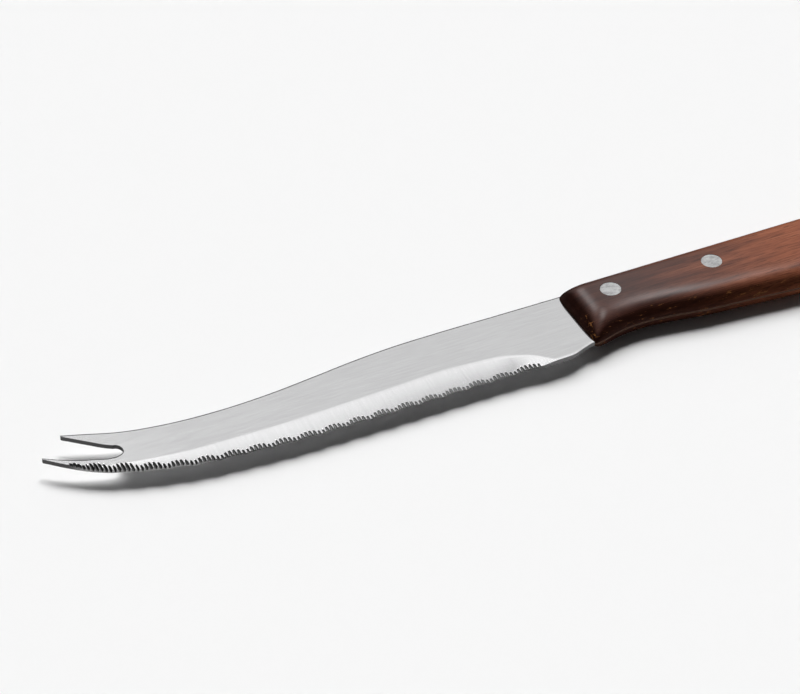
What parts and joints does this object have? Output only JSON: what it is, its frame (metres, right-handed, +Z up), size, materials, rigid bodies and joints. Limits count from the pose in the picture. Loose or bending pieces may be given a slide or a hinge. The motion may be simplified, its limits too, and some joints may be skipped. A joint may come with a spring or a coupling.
{
  "type": "cheese knife",
  "caption": "Cheese knife with a finely serrated steel blade ending in a forked tip for serving, and a riveted dark wooden handle.",
  "frame": {"origin": "a point on the flat of the lower handle scale that the knife lies on, 38 mm behind the handle's front end", "axes": "+X from the forked tip towards the butt, +Y from the cutting edge towards the spine, +Z up through the blade's thickness"},
  "size_m": [0.2148, 0.0207, 0.0072],
  "materials": {
    "steel": "satin, with a ground bevel",
    "dark_wood": "dark reddish brown, polished, long grain",
    "aluminium": "ground flush, lightly mottled"
  },
  "bodies": {
    "root": {"blade": "steel", "handle_scale_upper": "dark_wood", "handle_scale_lower": "dark_wood", "rivet_front": "aluminium", "rivet_rear": "aluminium"}
  },
  "joints": []
}
